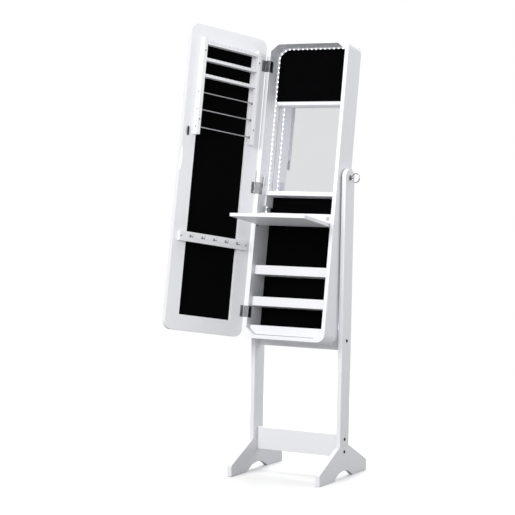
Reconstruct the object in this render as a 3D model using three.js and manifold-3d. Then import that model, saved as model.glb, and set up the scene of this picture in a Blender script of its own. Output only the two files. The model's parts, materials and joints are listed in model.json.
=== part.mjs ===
import * as THREE from 'three';
import { mergeVertices } from 'three/addons/utils/BufferGeometryUtils.js';
import Module from 'manifold-3d';

// A free-standing jewelry armoire: a tilting cabinet held between two uprights, with a mirrored door.
// Millimetres, +Z up, +X to the object's right, +Y to its back. The cabinet and the door are each built
// in a frame of their own: the cabinet's has X across, Y back and Z up along its leaning sides, and the
// door's has X from the hinge to the free edge, Y out of its inner face and Z along the hinge line.

// Stand
const STAND_HALF_WIDTH = 169;
const UPRIGHT_THICK = 15;
const UPRIGHT_DEPTH = 70;
const UPRIGHT_TOP_Z = 1030;
const UPRIGHT_CROWN = 30;
const FOOT_HALF_LENGTH = 190;
const FOOT_TOP_Z = 108;
const TOE_HEIGHT = 37;
const ARCH_HALF_LENGTH = 75;
const ARCH_HEIGHT = 24;
const BOARD_THICK = 15;
const LOWER_BOARD = { bottom: 70, top: 146 };
const UPPER_BOARD = { bottom: 427, top: 497 };

// Tilt hardware
const PIVOT_Z = 950;
const RING_PIN_Z = 1000;
const PIVOT_RADIUS = 5;
const PIVOT_REACH = 10;
const PIN_RADIUS = 3.5;
const NECK_RADIUS = 2;
const CAP_RADIUS = 9;
const RING_RADIUS = 14.5;
const RING_WIRE = 1.9;
const EYE_OUT = 7.6;
const EYE_RADIUS = 4.6;
const RING_TURN = -14;

// Cabinet
const TILT = 8.6;
const TILT_RANGE = [-2.5, 9];
const INDEX_PLATE = { halfDepth: 22, halfHeight: 12, corner: 5 };
const CABINET_WIDTH = 300;
const CABINET_DEPTH = 104.2;
const CABINET_FRONT = -58.7;
const CABINET_BOTTOM = -553.4;
const CABINET_HEIGHT = 1010;
const WALL = 13;
const CORNER_RADIUS = 28;
const CHAMFER_X = 27;
const CHAMFER_Z = 23;
const END_LEG = 36;
const BACK_THICK = 3;
const BACK_MARGIN = 6;
const PIN_POCKET = { halfDepth: 12, halfHeight: 4, into: 8 };
const PIVOT_HOLE_DEPTH = 10;
const STRIKE = { front: 3, back: 8, into: 5, halfHeight: 9 };

// Compartments
const DIVIDER_TOP = 261.6;
const DIVIDER_THICK = 12;
const DIVIDER_FRONT = 13.7;
const MIDDLE_SHELF_TOP = -50.3;
const MIDDLE_SHELF_THICK = 15;
const MIDDLE_SHELF_FRONT = -12.3;
const CLEAT = { front: -11, width: 8, height: 38 };
const LINING_FRONT = 41;
const RAISED_PANEL_FRONT = 16.2;
const RAISED_PANEL_THICK = 4;
const BATTERY_BOX = { halfWidth: 34, bottom: 300, top: 396 };
const LIP_FRONT = -35.7;
const LIP_THICK = 10;
const LIP_HEIGHT = 31;
const SHELF_THICK = 8;
const LIP_TOPS = {
  tray_level_shelf: -128.6,
  upper_lip_shelf: -306,
  lower_lip_shelf: -411.6,
  floor_lip_shelf: -507.4,
};
const BUTTON_X = 116;
const BUTTON_Z = -143.5;
const BUTTON_RADIUS = 6.5;
const LED_CENTRE = 7;
const LED_WIDTH = 8;
const LED_THICK = 4;

// Tray and its catch
const CATCH = { front: -35.4, depth: 11, width: 9, height: 39, bottom: -42 };
const POLE = { thick: 1.2, proud: 0.7, margin: 3 };
const TRAY_STOP = { depth: -53.5, radius: 2.5, reach: 7 };
const TRAY_TOP = -160.9;
const TRAY_THICK = 11.4;
const TRAY_LENGTH = 214;
const TRAY_HALF_WIDTH = 134.4;
const TRAY_PIN_RADIUS = 3;

// Door
const DOOR_OPEN = 117;
const HINGE_X = -153;
const HINGE_Y = -59.2;
const DOOR_WIDTH = 306;
const DOOR_THICK = 15.5;
const WINDOW_MARGIN = 51.5;
const WINDOW_DEPTH = 11;
const REBATE = 12;
const HINGE_CENTRES = [-465.4, -48.4, 368.6];
const HINGE_HEIGHT = 38;
const KNUCKLE_RADIUS = 2.8;
const HINGE_PIN_RADIUS = 1.3;
const LEAF_THICK = 1.2;
const LEG_BACK = -36;
const RAIL_WIDTH = 12;
const RAIL_PROUD = 26;
const RAIL_INSET = 38;
const RAIL = { bottom: 88, top: 409 };
const BAR_TOPS = [398, 344, 290];
const BAR_HEIGHT = 10;
const BAR_DEPTH = 19.6;
const SLOT_COUNT = 13;
const SLOT_PITCH = 16.1;
const SLOT_WIDTH = 2;
const SLOT_HEIGHT = 6;
const SLOT_CUT = 7;
const ROD_HEIGHTS = [229, 172, 114];
const ROD_RADIUS = 2.2;
const ROD_OUT = 15;
const ROD_REACH = 4;
const CUP = { flare: 1.8, length: 3 };
const HOOK_RAIL = { start: 18, end: 288, bottom: -264, top: -232, thick: 12 };
const HOOK_PATH = [[0.8, 1], [5, 0.5], [9, -4], [13, -4.5], [15, 1], [14.6, 4]];
const HOOK_WIRE = 1.4;
const HOOK_POSITIONS = [59.8, 106.4, 153, 199.6, 246.2];
const LOCK_X = 286;
const LOCK_Z = 97.5;
const LOCK_RADIUS = 9;
const CAM = { halfWidth: 3.5, halfLength: 15.5, thick: 1.8 };
const PULL_Z = 9;
const PULL_SCOOP = { radius: 9, halfLength: 46 };

// Gap that keeps neighbouring solids apart.
const GAP = 0.3;

const wasm = await Module();
wasm.setup();

const rad = THREE.MathUtils.degToRad;

// ---------------------------------------------------------------- materials

function finish(color, roughness, metalness = 0) {
  return () => new THREE.MeshStandardMaterial({ color, roughness, metalness });
}

const whitePaint = finish(0xf2f3f6, 0.42);
const felt = finish(0x0b0b0d, 0.95);
const mirror = finish(0xdde2e6, 0.04, 1);
const steel = finish(0xa9a8ad, 0.28, 1);
const chrome = finish(0xc9cad0, 0.14, 1);
const ledTape = finish(0xf6f8ff, 0.35);
const greyPlastic = finish(0x9a9ba1, 0.5);
const hardboard = finish(0xe4e3e0, 0.7);

// ---------------------------------------------------------------- geometry helpers

function boxGeometry([x0, x1], [y0, y1], [z0, z1]) {
  const geometry = new THREE.BoxGeometry(x1 - x0, y1 - y0, z1 - z0);
  return geometry.translate((x0 + x1) / 2, (y0 + y1) / 2, (z0 + z1) / 2);
}

function cylinderAlong(axis, radius, from, to, centre, segments = 16) {
  const geometry = new THREE.CylinderGeometry(radius, radius, to - from, segments);
  const middle = (from + to) / 2;
  if (axis === 'x') {
    return geometry.rotateZ(-Math.PI / 2).translate(middle, centre[0], centre[1]);
  }
  if (axis === 'z') {
    return geometry.rotateX(Math.PI / 2).translate(centre[0], centre[1], middle);
  }
  return geometry.translate(centre[0], middle, centre[1]);
}

// Extrudes an outline drawn in (y, z) along X.
function slabAlongX(shape, x0, x1, curveSegments = 16) {
  const geometry = new THREE.ExtrudeGeometry(shape, { depth: x1 - x0, bevelEnabled: false, curveSegments });
  const place = new THREE.Matrix4().set(0, 0, 1, x0, 1, 0, 0, 0, 0, 1, 0, 0, 0, 0, 0, 1);
  return geometry.applyMatrix4(place);
}

// Extrudes an outline drawn in (x, z) along Y.
function slabAlongY(shape, y0, y1, curveSegments = 8) {
  const geometry = new THREE.ExtrudeGeometry(shape, { depth: y1 - y0, bevelEnabled: false, curveSegments });
  return geometry.rotateX(Math.PI / 2).translate(0, y1, 0);
}

function roundedRectangle(x0, x1, z0, z1, radius) {
  const shape = new THREE.Shape();
  shape.moveTo(x0 + radius, z0);
  shape.lineTo(x1 - radius, z0);
  shape.absarc(x1 - radius, z0 + radius, radius, -Math.PI / 2, 0, false);
  shape.lineTo(x1, z1 - radius);
  shape.absarc(x1 - radius, z1 - radius, radius, 0, Math.PI / 2, false);
  shape.lineTo(x0 + radius, z1);
  shape.absarc(x0 + radius, z1 - radius, radius, Math.PI / 2, Math.PI, false);
  shape.lineTo(x0, z0 + radius);
  shape.absarc(x0 + radius, z0 + radius, radius, Math.PI, Math.PI * 1.5, false);
  return shape;
}

function toSolid(geometry) {
  const bare = geometry.clone();
  bare.deleteAttribute('normal');
  bare.deleteAttribute('uv');
  const merged = mergeVertices(bare, 1e-4);
  return new wasm.Manifold(new wasm.Mesh({
    numProp: 3,
    vertProperties: new Float32Array(merged.attributes.position.array),
    triVerts: new Uint32Array(merged.index.array),
  }));
}

function toGeometry(solid) {
  const { vertProperties, triVerts } = solid.getMesh();
  const geometry = new THREE.BufferGeometry();
  geometry.setAttribute('position', new THREE.BufferAttribute(vertProperties, 3));
  geometry.setIndex(new THREE.BufferAttribute(triVerts, 1));
  geometry.computeVertexNormals();
  return geometry;
}

function cut(geometry, ...tools) {
  return toGeometry(tools.reduce((solid, tool) => solid.subtract(toSolid(tool)), toSolid(geometry)));
}

function join(...geometries) {
  return toGeometry(geometries.map(toSolid).reduce((whole, solid) => whole.add(solid)));
}

function addPart(group, name, geometry, makeMaterial) {
  const mesh = new THREE.Mesh(geometry, makeMaterial());
  mesh.name = name;
  group.add(mesh);
}

// ---------------------------------------------------------------- stand

const uprightInside = STAND_HALF_WIDTH - UPRIGHT_THICK;

function uprightOutline() {
  const half = UPRIGHT_DEPTH / 2;
  const shoulder = UPRIGHT_TOP_Z - UPRIGHT_CROWN;
  const shape = new THREE.Shape();
  shape.moveTo(-half, FOOT_TOP_Z + GAP);
  shape.lineTo(half, FOOT_TOP_Z + GAP);
  shape.lineTo(half, shoulder);
  shape.absellipse(0, shoulder, half, UPRIGHT_CROWN, 0, Math.PI, false);
  shape.closePath();
  return shape;
}

// A splayed foot: flat toes, straight slopes up to the upright and a low round arch underneath.
function footOutline() {
  const half = UPRIGHT_DEPTH / 2;
  const archRadius = (ARCH_HALF_LENGTH ** 2 + ARCH_HEIGHT ** 2) / (2 * ARCH_HEIGHT);
  const archAngle = Math.asin(ARCH_HALF_LENGTH / archRadius);
  const up = Math.PI / 2;
  const shape = new THREE.Shape();
  shape.moveTo(-FOOT_HALF_LENGTH, 0);
  shape.lineTo(-ARCH_HALF_LENGTH, 0);
  shape.absarc(0, ARCH_HEIGHT - archRadius, archRadius, up + archAngle, up - archAngle, true);
  shape.lineTo(FOOT_HALF_LENGTH, 0);
  shape.lineTo(FOOT_HALF_LENGTH, TOE_HEIGHT - 3);
  shape.quadraticCurveTo(FOOT_HALF_LENGTH, TOE_HEIGHT, FOOT_HALF_LENGTH - 4, TOE_HEIGHT + 2);
  shape.lineTo(half, FOOT_TOP_Z);
  shape.lineTo(-half, FOOT_TOP_Z);
  shape.lineTo(-FOOT_HALF_LENGTH + 4, TOE_HEIGHT + 2);
  shape.quadraticCurveTo(-FOOT_HALF_LENGTH, TOE_HEIGHT, -FOOT_HALF_LENGTH, TOE_HEIGHT - 3);
  shape.closePath();
  return shape;
}

// A cross board with its upper long edges eased.
function crossBoardOutline({ bottom, top }) {
  const half = BOARD_THICK / 2;
  const ease = 3;
  const shape = new THREE.Shape();
  shape.moveTo(-half, bottom);
  shape.lineTo(half, bottom);
  shape.lineTo(half, top - ease);
  shape.absarc(half - ease, top - ease, ease, 0, Math.PI / 2, false);
  shape.lineTo(-half + ease, top);
  shape.absarc(-half + ease, top - ease, ease, Math.PI / 2, Math.PI, false);
  shape.closePath();
  return shape;
}

function roundHole(y, z, radius) {
  const hole = new THREE.Path();
  hole.absarc(y, z, radius, 0, Math.PI * 2, true);
  return hole;
}

function buildStand(group) {
  for (const [side, sign] of [['left', -1], ['right', 1]]) {
    const xs = [sign * uprightInside, sign * STAND_HALF_WIDTH].sort((a, b) => a - b);
    const outline = uprightOutline();
    const socketSpan = ordered(sign, uprightInside - 1, uprightInside + PIVOT_REACH + GAP);
    const socket = cylinderAlong('x', PIVOT_RADIUS + GAP, ...socketSpan, [0, PIVOT_Z]);
    if (sign > 0) {
      outline.holes.push(roundHole(0, RING_PIN_Z, CAP_RADIUS - 2 + GAP));
    }
    addPart(group, `${side}_upright`, cut(slabAlongX(outline, ...xs), socket), whitePaint);
    addPart(group, `${side}_foot`, slabAlongX(footOutline(), ...xs), whitePaint);
    addPart(group, `${side}_pivot_bolt`, pivotBolt(sign), steel);
  }
  const span = [-uprightInside + GAP, uprightInside - GAP];
  addPart(group, 'lower_cross_board', slabAlongX(crossBoardOutline(LOWER_BOARD), ...span, 4), whitePaint);
  addPart(group, 'upper_cross_board', slabAlongX(crossBoardOutline(UPPER_BOARD), ...span, 4), whitePaint);
  addPart(group, 'ring_pin_housing', ringPinHousing(), steel);
}

// A shaft that the cabinet turns on, in a blind hole. Its head sits in the gap beside the cabinet.
function pivotBolt(sign) {
  const gapInside = CABINET_WIDTH / 2 + 1;
  const centre = [0, PIVOT_Z];
  const shaftSpan = ordered(sign, CABINET_WIDTH / 2 - 9, uprightInside + PIVOT_REACH);
  const shaft = cylinderAlong('x', PIVOT_RADIUS, ...shaftSpan, centre);
  const flangeSpan = ordered(sign, gapInside + 1, uprightInside - GAP);
  const flange = cylinderAlong('x', CAP_RADIUS, ...flangeSpan, centre, 20);
  return join(shaft, flange);
}

function ordered(sign, near, far) {
  return sign > 0 ? [near, far] : [-far, -near];
}

// A tube through the right upright with a flange outside, which guides the ring pin.
function ringPinHousing() {
  const centre = [0, RING_PIN_Z];
  const tube = cylinderAlong('x', CAP_RADIUS - 2, uprightInside + 1, STAND_HALF_WIDTH + 1, centre, 20);
  const flange = cylinderAlong('x', CAP_RADIUS, STAND_HALF_WIDTH + GAP, STAND_HALF_WIDTH + 2.4, centre, 20);
  const bore = cylinderAlong('x', PIN_RADIUS + GAP, uprightInside - 5, STAND_HALF_WIDTH + 9, centre, 20);
  return cut(join(tube, flange), bore);
}

// The pulled pin: a narrow neck inside, a shoulder in the housing and a pull ring outside.
function ringPin() {
  const centre = [0, RING_PIN_Z];
  const neck = cylinderAlong('x', NECK_RADIUS, CABINET_WIDTH / 2 - 7, uprightInside + 3, centre, 12);
  const shoulder = cylinderAlong('x', PIN_RADIUS, uprightInside + 2, STAND_HALF_WIDTH + 7, centre, 20);
  const eye = new THREE.SphereGeometry(EYE_RADIUS, 16, 10).translate(STAND_HALF_WIDTH + EYE_OUT, ...centre);
  const ring = new THREE.TorusGeometry(RING_RADIUS, RING_WIRE, 8, 36);
  ring.rotateX(Math.PI / 2).translate(RING_RADIUS, 0, 0).rotateZ(rad(RING_TURN));
  ring.translate(STAND_HALF_WIDTH + EYE_OUT, ...centre);
  return join(neck, shoulder, eye, ring);
}

// ---------------------------------------------------------------- cabinet

const halfWidth = CABINET_WIDTH / 2;
const insideX = halfWidth - WALL;
const cabinetTop = CABINET_BOTTOM + CABINET_HEIGHT;
const cabinetBack = CABINET_FRONT + CABINET_DEPTH;
const boardBack = cabinetBack - 0.6;
const liningBack = LINING_FRONT + 0.9;
const tilt = rad(TILT);

// The pivot and the pin, as seen from the leaning cabinet, whose own origin is at the pin.
const pivotDrop = PIVOT_Z - RING_PIN_Z;
const pivotInCabinet = [-pivotDrop * Math.sin(tilt), pivotDrop * Math.cos(tilt)];

// One end of the carcass with its two rounded corners, open downwards; the bottom is the same upside down.
function endOutline() {
  const top = cabinetTop;
  const legEnd = top - END_LEG + GAP / 2;
  const shape = new THREE.Shape();
  shape.moveTo(-halfWidth, legEnd);
  shape.lineTo(-insideX, legEnd);
  shape.lineTo(-insideX + CHAMFER_X, top - END_LEG + CHAMFER_Z);
  shape.lineTo(insideX - CHAMFER_X, top - END_LEG + CHAMFER_Z);
  shape.lineTo(insideX, legEnd);
  shape.lineTo(halfWidth, legEnd);
  shape.lineTo(halfWidth, top - CORNER_RADIUS);
  shape.absarc(halfWidth - CORNER_RADIUS, top - CORNER_RADIUS, CORNER_RADIUS, 0, Math.PI / 2, false);
  shape.lineTo(-halfWidth + CORNER_RADIUS, top);
  shape.absarc(-halfWidth + CORNER_RADIUS, top - CORNER_RADIUS, CORNER_RADIUS, Math.PI / 2, Math.PI, false);
  shape.closePath();
  return shape;
}

// The same end turned over, as the cabinet's bottom.
function bottomEnd(y0, y1) {
  const middle = CABINET_BOTTOM + CABINET_HEIGHT / 2;
  return slabAlongY(endOutline(), y0, y1).translate(0, 0, -middle).rotateZ(Math.PI).rotateX(Math.PI)
    .translate(0, 0, middle);
}

function buildCarcass(group) {
  const depth = [CABINET_FRONT, cabinetBack];
  const rebateDepth = [LINING_FRONT - 0.6, cabinetBack + 1];
  const rebateX = [-halfWidth + BACK_MARGIN, halfWidth - BACK_MARGIN];
  const rebateZ = [CABINET_BOTTOM + BACK_MARGIN, cabinetTop - BACK_MARGIN];
  const backRebate = boxGeometry(rebateX, rebateDepth, rebateZ);
  const top = slabAlongY(endOutline(), ...depth);
  addPart(group, 'cabinet_top', cut(top, backRebate), whitePaint);
  addPart(group, 'cabinet_bottom', cut(bottomEnd(...depth), backRebate), whitePaint);

  const legs = [CABINET_BOTTOM + END_LEG, cabinetTop - END_LEG];
  for (const [side, sign] of [['left', -1], ['right', 1]]) {
    const panel = boxGeometry(ordered(sign, insideX, halfWidth), depth, legs);
    const holeSpan = ordered(sign, halfWidth - PIVOT_HOLE_DEPTH, halfWidth + 1);
    const pivotHole = cylinderAlong('x', PIVOT_RADIUS + GAP, ...holeSpan, pivotInCabinet);
    const cuts = [backRebate, pivotHole];
    if (sign < 0) {
      cuts.push(...HINGE_CENTRES.map((z) => hingeRebate(z)));
    } else {
      cuts.push(pinPocket(), strikeMortise());
    }
    addPart(group, `cabinet_${side}_side`, cut(panel, ...cuts), whitePaint);
  }
  const inset = BACK_MARGIN + GAP;
  const backBox = boxGeometry(
    [-halfWidth + inset, halfWidth - inset],
    [boardBack - BACK_THICK, boardBack],
    [CABINET_BOTTOM + inset, cabinetTop - inset],
  );
  addPart(group, 'back_panel', backBox, hardboard);
}

// Room in the right side for the tip of the ring pin's neck.
function pinPocket() {
  const { halfDepth, halfHeight, into } = PIN_POCKET;
  return boxGeometry([halfWidth - into, halfWidth + 1], [-halfDepth, halfDepth], [-halfHeight, halfHeight]);
}

// Room in the right side for the turned lock cam.
function strikeMortise() {
  const { front, back, into, halfHeight } = STRIKE;
  const depth = [CABINET_FRONT + front, CABINET_FRONT + back];
  return boxGeometry([insideX - 1, insideX + into], depth, [LOCK_Z - halfHeight, LOCK_Z + halfHeight]);
}

function hingeRebate(z) {
  const half = HINGE_HEIGHT / 2 + GAP;
  const depth = [CABINET_FRONT - 1, CABINET_FRONT + 1.6];
  return boxGeometry([-halfWidth - 1, -insideX + 1], depth, [z - half, z + half]);
}

// A shelf board with a raised lip along its front.
function lippedShelf(lipTop) {
  const boardTop = lipTop - LIP_HEIGHT + SHELF_THICK;
  const xs = [-insideX + GAP, insideX - GAP];
  const lip = boxGeometry(xs, [LIP_FRONT, LIP_FRONT + LIP_THICK], [lipTop - LIP_HEIGHT, lipTop]);
  const board = boxGeometry(xs, [LIP_FRONT, LINING_FRONT - GAP], [lipTop - LIP_HEIGHT, boardTop]);
  return join(lip, board);
}

function buildShelves(group) {
  const xs = [-insideX + GAP, insideX - GAP];
  const dividerZ = [DIVIDER_TOP - DIVIDER_THICK, DIVIDER_TOP];
  const divider = boxGeometry(xs, [DIVIDER_FRONT, LINING_FRONT - GAP], dividerZ);
  addPart(group, 'divider_bar', divider, whitePaint);

  const shelfBottom = MIDDLE_SHELF_TOP - MIDDLE_SHELF_THICK;
  const shelf = boxGeometry(xs, [MIDDLE_SHELF_FRONT, LINING_FRONT - GAP], [shelfBottom, MIDDLE_SHELF_TOP]);
  const notches = ([low, high]) => [-1, 1].map((sign) => {
    const across = ordered(sign, insideX - LED_THICK - 1.5, insideX + 1);
    return boxGeometry(across, ledBand(1), [low - 1, high + 1]);
  });
  addPart(group, 'middle_shelf', cut(shelf, ...notches([shelfBottom, MIDDLE_SHELF_TOP])), whitePaint);
  for (const [side, sign] of [['left', -1], ['right', 1]]) {
    const cleatSpan = ordered(sign, insideX - CLEAT.width, insideX - GAP);
    const cleatZ = [shelfBottom - CLEAT.height, shelfBottom - GAP];
    const cleat = boxGeometry(cleatSpan, [CLEAT.front, LINING_FRONT - GAP], cleatZ);
    addPart(group, `shelf_cleat_${side}`, cut(cleat, ...notches(cleatZ)), whitePaint);
  }
  for (const [name, lipTop] of Object.entries(LIP_TOPS)) {
    let shelfGeometry = lippedShelf(lipTop);
    if (name === 'tray_level_shelf') {
      const buttonCentre = [BUTTON_X, BUTTON_Z];
      const button = cylinderAlong('y', BUTTON_RADIUS + GAP, LIP_FRONT - 1, LIP_FRONT + 6, buttonCentre, 20);
      shelfGeometry = cut(shelfGeometry, button, ...notches([lipTop - LIP_HEIGHT, lipTop]));
    }
    if (name === 'floor_lip_shelf') {
      shelfGeometry = cut(shelfGeometry, bottomEnd(LIP_FRONT - 1, LINING_FRONT + 1).translate(0, 0, GAP));
    }
    addPart(group, name, shelfGeometry, whitePaint);
  }
}

function ledBand(margin = 0) {
  return [LED_CENTRE - LED_WIDTH / 2 - margin, LED_CENTRE + LED_WIDTH / 2 + margin];
}

function buildLinings(group) {
  const xs = [-insideX + GAP, insideX - GAP];
  const lining = [LINING_FRONT, liningBack - GAP];
  const above = (shelfTop) => shelfTop + GAP;
  const mirrorBand = [above(MIDDLE_SHELF_TOP), DIVIDER_TOP - DIVIDER_THICK - GAP];
  addPart(group, 'inner_mirror', boxGeometry(xs, lining, mirrorBand), mirror);
  const feltBand = [CABINET_BOTTOM + END_LEG, MIDDLE_SHELF_TOP - MIDDLE_SHELF_THICK - GAP];
  addPart(group, 'lower_felt_panel', boxGeometry(xs, lining, feltBand), felt);

  // The raised panel hides the battery box, so it is a shallow tray of board with felt on its front.
  const top = cabinetTop - END_LEG + CHAMFER_Z - GAP;
  const slope = CHAMFER_Z / CHAMFER_X;
  const shape = new THREE.Shape();
  shape.moveTo(xs[0], above(DIVIDER_TOP));
  shape.lineTo(xs[1], above(DIVIDER_TOP));
  shape.lineTo(xs[1], cabinetTop - END_LEG - slope);
  shape.lineTo(insideX - CHAMFER_X - 1, top);
  shape.lineTo(-insideX + CHAMFER_X + 1, top);
  shape.lineTo(xs[0], cabinetTop - END_LEG - slope);
  shape.closePath();
  const panelBack = RAISED_PANEL_FRONT + RAISED_PANEL_THICK;
  addPart(group, 'raised_felt_panel', slabAlongY(shape, RAISED_PANEL_FRONT, panelBack), felt);
  const { halfWidth: batteryHalf, bottom, top: batteryTop } = BATTERY_BOX;
  const batteryDepth = [panelBack + 1, LINING_FRONT - 1];
  const battery = boxGeometry([-batteryHalf, batteryHalf], batteryDepth, [bottom, batteryTop]);
  addPart(group, 'battery_box', battery, greyPlastic);

  addPart(group, 'led_tape', slabAlongY(lightTapeOutline(), ...ledBand()), ledTape);
}

// One tape up the left wall, across both chamfers and the ceiling, and down the right wall.
function lightTapeOutline() {
  const low = LIP_TOPS.tray_level_shelf + 1;
  const corner = cabinetTop - END_LEG;
  const line = (inset) => {
    const turn = inset * Math.tan(Math.atan2(CHAMFER_Z, CHAMFER_X) / 2);
    const rise = inset * Math.tan(Math.atan2(CHAMFER_X, CHAMFER_Z) / 2);
    return [
      [insideX - inset, low],
      [insideX - inset, corner - rise],
      [insideX - CHAMFER_X - turn, corner + CHAMFER_Z - inset],
    ];
  };
  const mirrored = (points) => points.map(([x, z]) => [-x, z]).reverse();
  const outer = line(GAP);
  const inner = line(GAP + LED_THICK);
  const points = [...outer, ...mirrored(outer), ...mirrored(inner).reverse(), ...inner.reverse()];
  return new THREE.Shape(points.map(([x, z]) => new THREE.Vector2(x, z)));
}

// The cabinet's half of a wrap-round hinge: a leg on the wall's front edge, a leg inside the wall,
// two outer knuckles and the pin through them.
function cabinetHinge(z) {
  const low = z - HINGE_HEIGHT / 2;
  const high = z + HINGE_HEIGHT / 2;
  const third = HINGE_HEIGHT / 3;
  const legY = [CABINET_FRONT + 0.1, CABINET_FRONT + 0.1 + LEAF_THICK];
  const parts = [
    boxGeometry([-halfWidth, -insideX + GAP + LEAF_THICK], legY, [low, high]),
    boxGeometry([-insideX + GAP, -insideX + GAP + LEAF_THICK], [legY[0], LEG_BACK], [low, high]),
    cylinderAlong('z', HINGE_PIN_RADIUS, low + 0.5, high - 0.5, [HINGE_X, HINGE_Y], 10),
  ];
  for (const [z0, z1] of [[low, low + third - GAP], [high - third + GAP, high]]) {
    parts.push(boxGeometry([HINGE_X + 1, -halfWidth + 1], legY, [z0, z1]));
    parts.push(cylinderAlong('z', KNUCKLE_RADIUS, z0, z1, [HINGE_X, HINGE_Y], 12));
  }
  return join(...parts);
}

function buildCabinetHardware(group) {
  HINGE_CENTRES.forEach((z, index) => {
    addPart(group, `cabinet_hinge_leaf_${index + 1}`, cabinetHinge(z), steel);
  });
  addPart(group, 'tray_catch', magneticCatch(), greyPlastic);
  for (const [side, sign] of [['left', -1], ['right', 1]]) {
    const stopCentre = [TRAY_STOP.depth, TRAY_TOP - TRAY_THICK - TRAY_STOP.radius - 0.4];
    const stopSpan = ordered(sign, insideX - TRAY_STOP.reach, insideX - GAP);
    const stop = cylinderAlong('x', TRAY_STOP.radius, ...stopSpan, stopCentre, 10);
    addPart(group, `tray_stop_${side}`, stop, steel);
  }
  addPart(group, 'index_plate', indexPlate(), steel);
}

// A magnet in a case on the left wall, between two pole plates that meet the raised tray.
function magneticCatch() {
  const { front, depth, width, height, bottom } = CATCH;
  const wallFace = -insideX + GAP;
  const zs = [bottom, bottom + height];
  const shell = boxGeometry([wallFace, wallFace + width], [front + POLE.proud, front + depth], zs);
  const poleZ = [zs[0] + POLE.margin, zs[1] - POLE.margin];
  const edge = POLE.thick / 3;
  const plates = [wallFace + edge, wallFace + width - edge - POLE.thick].map((x) => (
    boxGeometry([x, x + POLE.thick], [front, front + depth - 1], poleZ)
  ));
  return join(shell, ...plates);
}

// A plate on the right side with an arc slot about the pivot, which the pin's neck runs in.
function indexPlate() {
  const { halfDepth, halfHeight, corner } = INDEX_PLATE;
  const outline = roundedRectangle(-halfDepth, halfDepth, -halfHeight, halfHeight, corner);
  const [y, z] = pivotInCabinet;
  const reach = RING_PIN_Z - PIVOT_Z;
  const room = NECK_RADIUS + 0.7;
  const spare = THREE.MathUtils.radToDeg(room / reach);
  const [low, high] = TILT_RANGE.map((angle) => 90 + TILT + angle);
  const slot = new THREE.Path();
  slot.absarc(y, z, reach + room, rad(low - spare), rad(high + spare), false);
  slot.absarc(y, z, reach - room, rad(high + spare), rad(low - spare), true);
  slot.closePath();
  outline.holes.push(slot);
  return slabAlongX(outline, halfWidth + GAP, halfWidth + 1.5, 6);
}

// The folding tray: a board with a round back edge and a pin at each side.
function tray() {
  const radius = TRAY_THICK / 2;
  const shape = new THREE.Shape();
  shape.moveTo(0, -radius);
  shape.absarc(0, 0, radius, -Math.PI / 2, Math.PI / 2, false);
  shape.lineTo(-TRAY_LENGTH + radius + 2, radius);
  shape.absarc(-TRAY_LENGTH + radius + 2, radius - 2, 2, Math.PI / 2, Math.PI, false);
  shape.lineTo(-TRAY_LENGTH + radius, -radius + 2);
  shape.absarc(-TRAY_LENGTH + radius + 2, -radius + 2, 2, Math.PI, Math.PI * 1.5, false);
  shape.closePath();
  const board = slabAlongX(shape, -TRAY_HALF_WIDTH, TRAY_HALF_WIDTH, 6);
  const pin = cylinderAlong('x', TRAY_PIN_RADIUS, -insideX + 0.5, insideX - 0.5, [0, 0], 12);
  return join(board, pin);
}

function lightButton() {
  return cylinderAlong('y', BUTTON_RADIUS, LIP_FRONT - 0.4, LIP_FRONT + 3.2, [BUTTON_X, BUTTON_Z], 20);
}

// ---------------------------------------------------------------- door

const doorBottom = CABINET_BOTTOM;
const doorTop = cabinetTop;

function doorFrame() {
  const windowX = [WINDOW_MARGIN, DOOR_WIDTH - WINDOW_MARGIN];
  const windowZ = [doorBottom + WINDOW_MARGIN, doorTop - WINDOW_MARGIN];
  const outline = roundedRectangle(0, DOOR_WIDTH, doorBottom, doorTop, CORNER_RADIUS);
  const blank = slabAlongY(outline, -DOOR_THICK, 0);
  const through = boxGeometry(windowX, [-DOOR_THICK - 1, 1], windowZ);
  const rebate = boxGeometry(
    [windowX[0] - REBATE, windowX[1] + REBATE],
    [-DOOR_THICK - 1, -WINDOW_DEPTH],
    [windowZ[0] - REBATE, windowZ[1] + REBATE],
  );
  const { radius, halfLength } = PULL_SCOOP;
  const pull = new THREE.SphereGeometry(1, 20, 12).scale(radius, radius, halfLength);
  pull.translate(DOOR_WIDTH + 1, 1, PULL_Z);
  const lockHole = cylinderAlong('y', LOCK_RADIUS + GAP, -DOOR_THICK - 1, 1, [LOCK_X, LOCK_Z], 20);
  const half = HINGE_HEIGHT / 2 + GAP;
  const hingeCuts = HINGE_CENTRES.flatMap((z) => [
    boxGeometry([-1, 3.2], [-3.3, 1], [z - half, z + half]),
    boxGeometry([-1, 14], [-1.7, 1], [z - half, z + half]),
  ]);
  return cut(blank, through, rebate, pull, lockHole, ...hingeCuts);
}

function doorPane(inset, y0, y1) {
  const margin = WINDOW_MARGIN - REBATE + inset;
  return boxGeometry([margin, DOOR_WIDTH - margin], [y0, y1], [doorBottom + margin, doorTop - margin]);
}

function doorHinge(z) {
  const half = HINGE_HEIGHT / 2;
  const third = HINGE_HEIGHT / 6 - GAP;
  const plate = boxGeometry([3.6, 13.6], [-1.3, -0.1], [z - half, z + half]);
  const neck = boxGeometry([1.4, 4], [-1.3, -0.1], [z - third, z + third]);
  const knuckle = cylinderAlong('z', KNUCKLE_RADIUS, z - third, z + third, [0, 0], 12);
  const bore = cylinderAlong('z', HINGE_PIN_RADIUS + 0.4, z - half, z + half, [0, 0], 10);
  return cut(join(plate, neck, knuckle), bore);
}

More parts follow.
